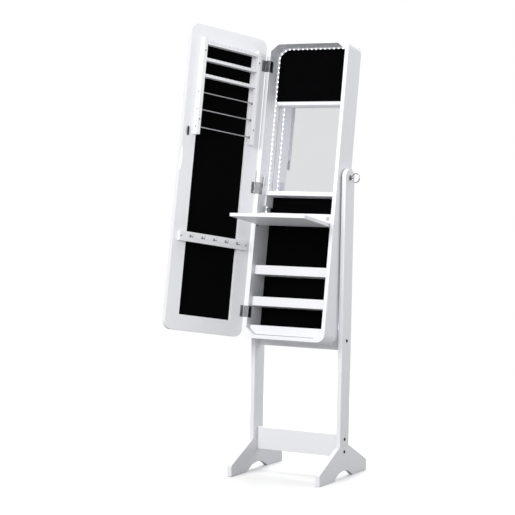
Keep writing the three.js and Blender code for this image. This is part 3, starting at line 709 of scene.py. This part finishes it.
class ARMOIRE_OT_ring_pin(bpy.types.Operator):
    """Make the pull ring and its pin, and dress the flanged housing and the pivot bolts"""
    bl_idname = "armoire.ring_pin"
    bl_label = "Ring pin and pivots"

    RING_RADIUS = 14.5 * MM
    WIRE_RADIUS = 1.9 * MM
    RING_TURN = math.radians(-14)
    RING_KNOTS = 24
    BALL_RADIUS = 4.6 * MM
    BALL_OUT = 7.6 * MM
    PIN_RADIUS = 3.5 * MM
    NECK_RADIUS = 2 * MM
    NECK_ROUND = 0.8 * MM
    SHOULDER_DEPTH = 13 * MM

    def pin(self, ball):
        """The neck inside the cabinet, the shoulder, the pin and its ball, along one axis."""
        neck = local_box("ring_pin", CABINET)[0].x
        shoulder = STAND_OUTER - self.SHOULDER_DEPTH
        nose = (self.NECK_RADIUS - self.NECK_ROUND, neck + self.NECK_ROUND)
        profile = [(0, neck), *arc(self.NECK_ROUND, nose, -90, 0, 3)]
        profile += [(self.NECK_RADIUS, shoulder - 1 * MM), (self.PIN_RADIUS - 0.3 * MM, shoulder)]
        profile += [(self.PIN_RADIUS, shoulder + 0.5 * MM), (self.PIN_RADIUS, ball - 4.2 * MM)]
        profile += [(0.8 * self.PIN_RADIUS, ball - 3.7 * MM)]
        profile += arc(self.BALL_RADIUS, (0, ball), -52, 90, 12)
        return lathe("pin_model", profile)

    def ring(self):
        """The ring, upright, with its wire passing through the ball at the origin."""
        knots = []
        for index in range(self.RING_KNOTS):
            angle = 2 * math.pi * index / self.RING_KNOTS
            knots.append(Vector((1 + math.cos(angle), 0, math.sin(angle))) * self.RING_RADIUS)
        return wire("ring_model", knots, self.WIRE_RADIUS, cyclic=True)

    def execute(self, context):
        centre = Vector((0, 0, middle_between("ring_pin_housing").z))
        ball = Vector((STAND_OUTER + self.BALL_OUT, 0, 0))
        pin = self.pin(ball.x)
        settle(pin, facing(STAND, centre, (1, 0, 0)))
        smooth(pin)
        ring = self.ring()
        turn = Matrix.Rotation(self.RING_TURN, 4, "Z")
        settle(ring, STAND @ Matrix.Translation(centre + ball) @ turn)
        smooth(ring)
        dress_as(join("pull_ring_and_pin", [pin, ring]), "ring_pin")
        for node in ("ring_pin_housing", "left_pivot_bolt", "right_pivot_bolt"):
            board(node, 0.4 * MM)
        return {"FINISHED"}


# ------------------------------------------------------------------ cabinet

class ARMOIRE_OT_carcass(bpy.types.Operator):
    """Dress the cabinet's four outer boards so that they read as one shell"""
    bl_idname = "armoire.carcass"
    bl_label = "Cabinet shell"

    SEAM_REACH = 2 * MM

    def execute(self, context):
        ease = context.scene.armoire_paint.ease
        inverse = CABINET.inverted()
        seams = [corner.z for corner in local_box("cabinet_left_side", CABINET)]

        def at_seam(middle):
            height = (inverse @ middle).z
            return any(abs(height - seam) < self.SEAM_REACH for seam in seams)

        for node in ("cabinet_top", "cabinet_bottom", "cabinet_left_side", "cabinet_right_side"):
            board(node, ease, skip=at_seam, segments=3)
        return {"FINISHED"}


class ARMOIRE_OT_shelves(bpy.types.Operator):
    """Dress the divider bar, the middle shelf on its cleats and the lipped shelves"""
    bl_idname = "armoire.shelves"
    bl_label = "Shelves"

    def execute(self, context):
        ease = context.scene.armoire_paint.ease
        for node in ("divider_bar", "middle_shelf", "shelf_cleat_left", "shelf_cleat_right"):
            board(node, ease)
        for node in ("tray_level_shelf", "upper_lip_shelf", "lower_lip_shelf", "floor_lip_shelf"):
            board(node, 0.9 * ease)
        return {"FINISHED"}


class ARMOIRE_OT_linings(bpy.types.Operator):
    """Dress the small mirror and the felt panels"""
    bl_idname = "armoire.linings"
    bl_label = "Linings"

    CORNER_DROP = 30 * MM
    CORNER_RADIUS = 9 * MM

    def execute(self, context):
        board("inner_mirror", 0.25 * MM)
        board("lower_felt_panel", 0.25 * MM)
        low, high = local_box("raised_felt_panel", CABINET)
        inverse = CABINET.inverted()

        def upper_corner(middle, edge):
            """The edges that run front to back between the panel's sides, slopes and top."""
            ends = [inverse @ vertex.co for vertex in edge.verts]
            runs_back = abs(ends[0].y - ends[1].y) > 0.5 * (high.y - low.y)
            return runs_back and (inverse @ middle).z > high.z - self.CORNER_DROP

        board("raised_felt_panel", 0.8 * MM, rounded=upper_corner, radius=self.CORNER_RADIUS)
        return {"FINISHED"}


class ARMOIRE_OT_light_tape(bpy.types.Operator):
    """Run the light tape up the left wall, across the ceiling and down the right wall, with its lights"""
    bl_idname = "armoire.light_tape"
    bl_label = "Light tape"

    THICK = 0.8 * MM
    BEND = 14 * MM
    BEAD_RADIUS = 2.8 * MM
    BEAD_HEIGHT = 3.0 * MM
    BEAD_SUNK = 0.3 * MM
    COLLAR_SHARE = 0.35
    WINDOW_SHARE = 0.86

    def corners(self):
        """The points where the tape's middle line turns, in the cabinet's frame, and the tape's width."""
        inverse = CABINET.inverted()
        low, high = local_box("led_tape", CABINET)
        outline = [inverse @ vertex.co for vertex in NODES["led_tape"].data.vertices]
        hair = 0.05 * MM
        shoulder = max(point.z for point in outline if point.x < low.x + hair)
        run = min(point.x for point in outline if point.z > high.z - hair)
        wall = low.x + self.THICK
        ceiling = high.z - self.THICK
        depth = (low.y + high.y) / 2
        centre = (low.x + high.x) / 2
        left = [(wall, low.z), (wall, shoulder), (run, ceiling)]
        right = [(2 * centre - x, z) for x, z in reversed(left)]
        return [Vector((x, depth, z)) for x, z in left + right], high.y - low.y

    def softened(self, corners):
        """The same line with every turn drawn as a short curve."""
        steps = 6
        line = [corners[0]]
        for before, corner, after in zip(corners, corners[1:], corners[2:]):
            first = corner + (before - corner).normalized() * self.BEND
            last = corner + (after - corner).normalized() * self.BEND
            for index in range(steps + 1):
                part = index / steps
                line.append(first.lerp(corner, part).lerp(corner.lerp(last, part), part))
        return line + [corners[-1]]

    def strip(self, line, width):
        """One flat band along the line, with a thickness."""
        front = Vector((0, width / 2, 0))
        piece = trace("light_tape", [point - front for point in line])
        bpy.ops.mesh.select_all(action="SELECT")
        bpy.ops.mesh.extrude_region_move(TRANSFORM_OT_translate={"value": (0, width, 0)})
        close_edit()
        apply_modifier(piece, "SOLIDIFY", thickness=self.THICK, offset=0)
        bpy.ops.object.mode_set(mode="EDIT")
        weld()
        smooth(piece, 30.0)
        return piece

    def bead(self, sides):
        """One light: a low white collar round a domed window."""
        collar_height = self.COLLAR_SHARE * self.BEAD_HEIGHT
        collar = [(0, 0), (self.BEAD_RADIUS, 0), (self.BEAD_RADIUS, collar_height)]
        base = lathe("collar", [*collar, (0, collar_height)], steps=sides)
        # The collar takes the tape's finish, so it carries the same painted glow.
        paint_with(base, "led_tape")
        inner = self.WINDOW_SHARE * self.BEAD_RADIUS
        rise = self.BEAD_HEIGHT - collar_height
        dome = [(radius, collar_height + height * rise / inner)
                for radius, height in arc(inner, (0, 0), 0, 90, 4)]
        window = lathe("window", [(0, 0.5 * collar_height), (inner, 0.5 * collar_height), *dome], steps=sides)
        paint_with(window, "light")
        model = join("light_model", [base, window])
        smooth(model, 50.0)
        return model

    def execute(self, context):
        settings = context.scene.armoire_tape
        corners, width = self.corners()
        line = self.softened(corners)
        tape = self.strip(line, width)
        places = []
        carried = settings.pitch / 2
        for first, last in zip(line, line[1:]):
            along = last - first
            inward = Vector((along.z, 0, -along.x)).normalized()
            while carried < along.length:
                spot = first + along.normalized() * carried + inward * self.BEAD_SUNK
                places.append(facing(CABINET, spot, inward))
                carried += settings.pitch
            carried -= along.length
        lights = join("tape_lights", copies(self.bead(settings.lens_sides), places))
        settle(tape, CABINET)
        dress_as(tape, "led_tape")
        dress(lights, "cabinet")
        return {"FINISHED"}


class ARMOIRE_OT_hidden_parts(bpy.types.Operator):
    """Dress the battery box, the index plate, the light button and the tray's stops"""
    bl_idname = "armoire.hidden_parts"
    bl_label = "Small fittings"

    def execute(self, context):
        board("battery_box", 2 * MM, segments=3)
        board("index_plate", 0.25 * MM)
        board("light_button", 0.35 * MM)
        for node in ("tray_stop_left", "tray_stop_right"):
            board(node, 0.4 * MM)
        return {"FINISHED"}


class ARMOIRE_OT_back_panel(bpy.types.Operator):
    """Dress the back panel and pin it round its edge"""
    bl_idname = "armoire.back_panel"
    bl_label = "Back panel"

    MARGIN = 7 * MM
    CORNER_GAP = 26 * MM
    ROWS = 10
    COLUMNS = 3
    HEAD_RADIUS = 1.5 * MM
    HEAD_DEPTH = 1 * MM

    def execute(self, context):
        board("back_panel", 0.3 * MM)
        low, high = local_box("back_panel", CABINET)
        left, right = low.x + self.MARGIN, high.x - self.MARGIN
        bottom, top = low.z + self.CORNER_GAP, high.z - self.CORNER_GAP
        spots = []
        for index in range(self.ROWS):
            height = bottom + (top - bottom) * index / (self.ROWS - 1)
            spots += [(left, height), (right, height)]
        for index in range(self.COLUMNS):
            across = left + (right - left) * (index + 1) / (self.COLUMNS + 1)
            spots += [(across, low.z + self.MARGIN), (across, high.z - self.MARGIN)]
        places = [facing(CABINET, (x, high.y, z), (0, 1, 0)) for x, z in spots]
        foot = [(0, -self.HEAD_DEPTH), (self.HEAD_RADIUS, -self.HEAD_DEPTH)]
        dome = arc(4 * MM, (0, -3.75 * MM), 68, 90, 3)
        nail = lathe("nail_model", [*foot, *dome], steps=14)
        fixings("back_panel_nails", "cabinet", "steel_fitting", nail, places)
        return {"FINISHED"}


class ARMOIRE_OT_tray(bpy.types.Operator):
    """Dress the folding tray and the magnetic catch that holds it up"""
    bl_idname = "armoire.tray"
    bl_label = "Tray and catch"

    POLE_DEPTH = 0.5 * MM

    def execute(self, context):
        board("tray", 0.5 * context.scene.armoire_paint.ease)
        case = board("tray_catch", 0.2 * MM)
        paint_with(case, "white_plastic")
        front = local_box("tray_catch", CABINET)[0].y
        paint_between(case, "dark_screw", CABINET, front - MM, front + self.POLE_DEPTH)
        return {"FINISHED"}


class ARMOIRE_OT_hinges(bpy.types.Operator):
    """Dress both leaves of the three hinges and screw them down"""
    bl_idname = "armoire.hinges"
    bl_label = "Hinges"

    LEAF_EASE = 0.2 * MM
    BEND_RADIUS = 1 * MM
    SPREAD = 12.5 * MM
    SCREW = 4.4 * MM
    DOOR_INSET = 3.6 * MM
    DOOR_STAGGER = 1.3 * MM
    DOOR_SUNK = 0.15 * MM
    CABINET_INSET = 9 * MM
    CABINET_STAGGER = 5.2 * MM
    CABINET_SUNK = 0.05 * MM

    def execute(self, context):
        on_door, on_cabinet = [], []
        inverse = CABINET.inverted()
        front = local_box("cabinet_left_side", CABINET)[0].y
        bend = local_box("cabinet_hinge_leaf_1", CABINET)[1].x

        def on_bend(middle, edge):
            """The outer edge where a leaf turns into the cabinet."""
            spot = inverse @ middle
            return abs(spot.x - bend) < 0.1 * MM and abs(spot.y - front) < 0.3 * MM

        for index in (1, 2, 3):
            inner, outer = f"cabinet_hinge_leaf_{index}", f"door_hinge_leaf_{index}"
            board(inner, self.LEAF_EASE, rounded=on_bend, radius=self.BEND_RADIUS)
            board(outer, self.LEAF_EASE)
            middle = local_middle(outer, DOOR).z
            door_edge = local_box(outer, DOOR)[1].x - self.DOOR_INSET
            leg = local_box(inner, CABINET)[1]
            for offset in (-self.SPREAD, 0, self.SPREAD):
                side = 1 if offset else -1
                height = middle + offset
                across = door_edge - side * self.DOOR_STAGGER
                on_door.append(facing(DOOR, (across, -self.DOOR_SUNK, height), (0, 1, 0)))
                depth = leg.y - self.CABINET_INSET - side * self.CABINET_STAGGER
                on_cabinet.append(facing(CABINET, (leg.x - self.CABINET_SUNK, depth, height), (1, 0, 0)))
        for body, places in (("door", on_door), ("cabinet", on_cabinet)):
            screw = cross_screw("hinge_screw_model", self.SCREW)
            fixings(f"hinge_screws_{body}", body, "chrome_wire", screw, places)
        return {"FINISHED"}


# ------------------------------------------------------------------ door

class ARMOIRE_OT_door(bpy.types.Operator):
    """Dress the door's frame, its felt panel and the long mirror"""
    bl_idname = "armoire.door"
    bl_label = "Door"

    SCOOP_DEPTH = 10.5 * MM
    SCOOP_HEIGHT = 9 * MM
    SCOOP_REACH = 50 * MM
    LOCK_REACH = 12 * MM
    REBATE_WIDTH = 15 * MM
    NEAR = 2 * MM

    def execute(self, context):
        ease = context.scene.armoire_paint.ease
        inverse = DOOR.inverted()
        scoop_x = local_box("door_frame", DOOR)[1].x - self.SCOOP_DEPTH
        lock_x = local_box("lock_barrel", DOOR)[0].x - self.NEAR
        lock_z = local_middle("lock_barrel", DOOR).z
        hinges = [local_box(f"door_hinge_leaf_{index}", DOOR) for index in (1, 2, 3)]

        def worked(middle):
            """Edges of the scoop, the lock's hole and the hinge rebates stay crisp."""
            spot = inverse @ middle
            in_scoop = spot.x > scoop_x and abs(spot.z - self.SCOOP_HEIGHT) < self.SCOOP_REACH
            in_lock = spot.x > lock_x and abs(spot.z - lock_z) < self.LOCK_REACH
            at_hinge = any(low.z - self.NEAR < spot.z < high.z + self.NEAR for low, high in hinges)
            return in_scoop or in_lock or (at_hinge and spot.x < self.REBATE_WIDTH)

        board("door_frame", ease, skip=worked, segments=3)
        board("door_felt_panel", 0.2 * MM)
        board("outer_mirror", 0.6 * MM)
        return {"FINISHED"}


class ARMOIRE_OT_holders(bpy.types.Operator):
    """Dress the two rails, the comb bars and the hook rail, with the screws of the rails and rods"""
    bl_idname = "armoire.holders"
    bl_label = "Rails and bars"

    FROM_TOP = 42 * MM
    FROM_BOTTOM = 50 * MM
    FROM_END = 6 * MM

    def execute(self, context):
        ease = context.scene.armoire_paint.ease
        for node in ("rail_hinge_side", "rail_free_side", "hook_rail"):
            board(node, ease)
        for index in (1, 2, 3):
            board(f"earring_bar_{index}", 0.3 * ease)
        places = []
        for node in ("rail_hinge_side", "rail_free_side"):
            low, high = local_box(node, DOOR)
            for height in (high.z - self.FROM_TOP, low.z + self.FROM_BOTTOM):
                places.append(facing(DOOR, ((low.x + high.x) / 2, high.y, height), (0, 1, 0)))
        low, high = local_box("hook_rail", DOOR)
        for across in (low.x + self.FROM_END, high.x - self.FROM_END):
            places.append(facing(DOOR, (across, high.y, (low.z + high.z) / 2), (0, 1, 0)))
        free_side = local_box("rail_free_side", DOOR)[1].x
        for index in (1, 2, 3):
            rod = local_middle(f"necklace_rod_{index}", DOOR)
            places.append(facing(DOOR, (free_side, rod.y, rod.z), (1, 0, 0)))
        model = cross_screw("rail_screw_model", context.scene.armoire_fittings.rail_screw)
        fixings("rail_screws", "door", "steel_fitting", model, places)
        return {"FINISHED"}


class ARMOIRE_OT_necklace_rods(bpy.types.Operator):
    """Turn the three necklace rods with their end cups"""
    bl_idname = "armoire.necklace_rods"
    bl_label = "Necklace rods"

    ROD = 2.2 * MM
    CUP = 4 * MM
    CUP_LENGTH = 2.7 * MM
    CUP_ROUND = 0.5 * MM
    FROM_END = 4.3 * MM

    def profile(self, length):
        """A thin rod with a soft-cornered cup near each end."""
        first, last = self.FROM_END, length - self.FROM_END
        inner_first, inner_last = first + self.CUP_LENGTH, last - self.CUP_LENGTH
        soft, corner = self.CUP_ROUND, self.CUP - self.CUP_ROUND
        points = [(0, 0), (self.ROD, 0), (self.ROD, first), (self.CUP, first)]
        points += arc(soft, (corner, inner_first - soft), 0, 90, 3)
        points += [(self.ROD, inner_first), (self.ROD, inner_last)]
        points += arc(soft, (corner, inner_last + soft), -90, 0, 3)
        return points + [(self.CUP, last), (self.ROD, last), (self.ROD, length), (0, length)]

    def execute(self, context):
        for index in (1, 2, 3):
            node = f"necklace_rod_{index}"
            low, high = local_box(node, DOOR)
            middle = local_middle(node, DOOR)
            rod = lathe(f"{node}_turned", self.profile(high.x - low.x), steps=28)
            settle(rod, facing(DOOR, (low.x, middle.y, middle.z), (1, 0, 0)))
            smooth(rod, 35.0)
            dress_as(rod, node)
        return {"FINISHED"}


class ARMOIRE_OT_hooks(bpy.types.Operator):
    """Bend the five hooks, each with a domed rose and a ball tip"""
    bl_idname = "armoire.hooks"
    bl_label = "Hooks"

    WIRE = 1.35 * MM
    ROSE = 4.9 * MM
    ROSE_BACK = 0.2 * MM
    ROSE_ABOVE = 5.9 * MM
    TIP = 1.9 * MM
    PATH_REACH = 14.6
    PATH = ((0.8, 0.9), (5, 0.3), (9, -3.6), (12.4, -4.4), (14.4, -1.6), (14.5, 1.4), (14.2, 3.2))

    def execute(self, context):
        rail = local_box("hook_rail", DOOR)[1].y
        for index in range(1, 6):
            node = f"hook_{index}"
            low, high = local_box(node, DOOR)
            root = Vector((local_middle(node, DOOR).x, rail, low.z + self.ROSE_ABOVE))
            dome = arc(8 * MM, (0, -6.1 * MM), 52, 90, 6)
            rose = lathe("rose_model", [(0, self.ROSE_BACK), (self.ROSE, self.ROSE_BACK), *dome])
            settle(rose, facing(DOOR, root, (0, 1, 0)))
            scale = (high.y - rail - self.WIRE) / self.PATH_REACH
            points = [DOOR @ (root + Vector((0, out, up)) * scale) for out, up in self.PATH]
            bent = wire("hook_model", points, self.WIRE)
            tip = lathe("tip_model", arc(self.TIP, (0, 0), -90, 90, 10), steps=20)
            settle(tip, Matrix.Translation(points[-1]))
            hook = join(f"{node}_bent", [rose, bent, tip])
            smooth(hook, 45.0)
            dress_as(hook, node)
        return {"FINISHED"}


class ARMOIRE_OT_lock(bpy.types.Operator):
    """Dress the lock's barrel and cam, and fix the cam with its screw"""
    bl_idname = "armoire.lock"
    bl_label = "Lock"

    EASE = 0.3 * MM
    SCREW = 3.6 * MM

    def execute(self, context):
        barrel = board("lock_barrel", self.EASE)
        inner_end = local_box("lock_barrel", DOOR)[1].y
        paint_between(barrel, "white_plastic", DOOR, inner_end - MM, inner_end + MM)
        paint_with(board("lock_cam", self.EASE), "dark_cam")
        middle = local_middle("lock_cam", DOOR)
        place_of_screw = facing(DOOR, (middle.x, local_box("lock_cam", DOOR)[1].y, middle.z), (0, 1, 0))
        model = cross_screw("lock_cam_screw_model", self.SCREW)
        fixings("lock_cam_screw", "lock_cam_body", "dark_screw", model, [place_of_screw])
        return {"FINISHED"}


# ------------------------------------------------------------------ stage

class ARMOIRE_OT_stage(bpy.types.Operator):
    """Lay the floor, and set the light and the camera"""
    bl_idname = "armoire.stage"
    bl_label = "Stage"

    FLOOR_RADIUS = 3.2
    FLOOR_SHADE = 0.36
    SKY_LIGHT = 0.44
    SKY_MIRRORED = 0.84
    COOL = (0.94, 0.965, 1)
    LAMPS = {
        "key": ((-0.7, -5.6, 2.7), (0, 0, 0.6), 2.6, 215, (1, 0.995, 0.985)),
        "fill": ((3.4, -4.0, 2.0), (0, 0, 0.7), 2.4, 30, COOL),
        "side": ((3.6, 2.2, 1.8), (0, 0, 0.8), 2.4, 40, COOL),
        "rear": ((-1.5, 4.0, 2.6), (0, 0, 0.9), 2.4, 80, (1, 1, 1)),
        "ceiling": ((0, 0.4, 4.6), (0, 0, 0), 4.5, 125, (1, 1, 1)),
    }

    def floor(self, settings):
        """A pale disc that looks whiter to the eye than the light that it throws on the armoire."""
        bpy.ops.object.select_all(action="DESELECT")
        bpy.ops.mesh.primitive_circle_add(vertices=96, radius=self.FLOOR_RADIUS, fill_type="NGON")
        floor = bpy.context.object
        floor.name = "floor"
        surface = Shader("pale_floor", {"Roughness": 0.9, "Specular IOR Level": 0.1})
        clouds = surface.noise(surface.coordinates(), 1.5, detail=2.0)
        seen = surface.node("ShaderNodeLightPath", output="Is Camera Ray")
        pale = surface.mix(clouds, shade(settings.floor, 0.995), settings.floor)
        surface.output("Base Color", surface.mix(seen, shade(settings.floor, self.FLOOR_SHADE), pale))
        floor.data.materials.append(surface.material)
        floor.location.z = -0.5 * MM

    def sky(self, scene):
        """White all round: full white to the eye, softer in reflections and softer still as light."""
        world = bpy.data.worlds.new("studio")
        scene.world = world
        world.use_nodes = True
        tree = world.node_tree
        path = tree.nodes.new("ShaderNodeLightPath")
        previous = None
        for ray, strength in (("Is Glossy Ray", self.SKY_MIRRORED), ("Is Camera Ray", 1.0)):
            blend = tree.nodes.new("ShaderNodeMix")
            blend.inputs["A"].default_value = self.SKY_LIGHT
            blend.inputs["B"].default_value = strength
            tree.links.new(path.outputs[ray], blend.inputs["Factor"])
            if previous is not None:
                tree.links.new(previous.outputs["Result"], blend.inputs["A"])
            previous = blend
        tree.links.new(previous.outputs["Result"], tree.nodes["Background"].inputs["Strength"])
        tree.nodes["Background"].inputs["Color"].default_value = (1, 1, 1, 1)

    def lamp(self, name, spot, aim, size, power, colour):
        bpy.ops.object.light_add(type="AREA", location=STAND @ Vector(spot))
        lamp = bpy.context.object
        lamp.name = name
        lamp.data.shape = "DISK"
        lamp.data.size = size
        lamp.data.energy = power
        lamp.data.color = colour
        lamp.rotation_euler = (Vector(aim) - Vector(spot)).to_track_quat("-Z", "Y").to_euler()

    def camera(self, scene, settings):
        data = bpy.data.cameras.new("camera")
        camera = bpy.data.objects.new("camera", data)
        scene.collection.objects.link(camera)
        data.lens = settings.lens
        data.sensor_width = 36
        level = math.cos(settings.tilt)
        flat_right = Vector((math.cos(settings.heading), math.sin(settings.heading), 0))
        flat_ahead = Vector((-flat_right.y, flat_right.x, 0))
        ahead = flat_ahead * level + Vector((0, 0, math.sin(settings.tilt)))
        flat_up = flat_right.cross(ahead)
        right = math.cos(settings.roll) * flat_right + math.sin(settings.roll) * flat_up
        up = -math.sin(settings.roll) * flat_right + math.cos(settings.roll) * flat_up
        camera.matrix_world = place(STAND @ Vector(settings.viewpoint), (right, up, -ahead))
        scene.camera = camera

    def execute(self, context):
        scene = context.scene
        settings = scene.armoire_stage
        self.floor(settings)
        self.sky(scene)
        for name, values in self.LAMPS.items():
            self.lamp(name, *values)
        self.camera(scene, settings)
        scene.view_settings.view_transform = "Standard"
        return {"FINISHED"}


# ------------------------------------------------------------------ panel and registration

SETTINGS = {
    "armoire_paint": PaintSettings,
    "armoire_felt": FeltSettings,
    "armoire_fittings": FittingSettings,
    "armoire_tape": TapeSettings,
    "armoire_stage": StageSettings,
}

OPERATORS = (
    ARMOIRE_OT_stage,
    ARMOIRE_OT_stand_boards,
    ARMOIRE_OT_stand_screws,
    ARMOIRE_OT_ring_pin,
    ARMOIRE_OT_carcass,
    ARMOIRE_OT_back_panel,
    ARMOIRE_OT_linings,
    ARMOIRE_OT_shelves,
    ARMOIRE_OT_light_tape,
    ARMOIRE_OT_hidden_parts,
    ARMOIRE_OT_tray,
    ARMOIRE_OT_hinges,
    ARMOIRE_OT_door,
    ARMOIRE_OT_holders,
    ARMOIRE_OT_necklace_rods,
    ARMOIRE_OT_hooks,
    ARMOIRE_OT_lock,
)


class ARMOIRE_PT_panel(bpy.types.Panel):
    """Sizes, colours and makers of the armoire"""
    bl_idname = "ARMOIRE_PT_panel"
    bl_label = "Jewelry armoire"
    bl_space_type = "VIEW_3D"
    bl_region_type = "UI"
    bl_category = "Armoire"

    def draw(self, context):
        for attribute, group in SETTINGS.items():
            box = self.layout.box()
            for name in group.__annotations__:
                box.prop(getattr(context.scene, attribute), name)
        column = self.layout.column(align=True)
        for operator in OPERATORS:
            column.operator(operator.bl_idname)


def register():
    for attribute, group in SETTINGS.items():
        bpy.utils.register_class(group)
        setattr(bpy.types.Scene, attribute, PointerProperty(type=group))
    for operator in OPERATORS:
        bpy.utils.register_class(operator)
    bpy.utils.register_class(ARMOIRE_PT_panel)


def unregister():
    bpy.utils.unregister_class(ARMOIRE_PT_panel)
    for operator in reversed(OPERATORS):
        bpy.utils.unregister_class(operator)
    for attribute, group in SETTINGS.items():
        delattr(bpy.types.Scene, attribute)
        bpy.utils.unregister_class(group)


def main():
    register()
    for operator in OPERATORS:
        family, name = operator.bl_idname.split(".")
        getattr(getattr(bpy.ops, family), name)()


if __name__ == "__main__":
    main()
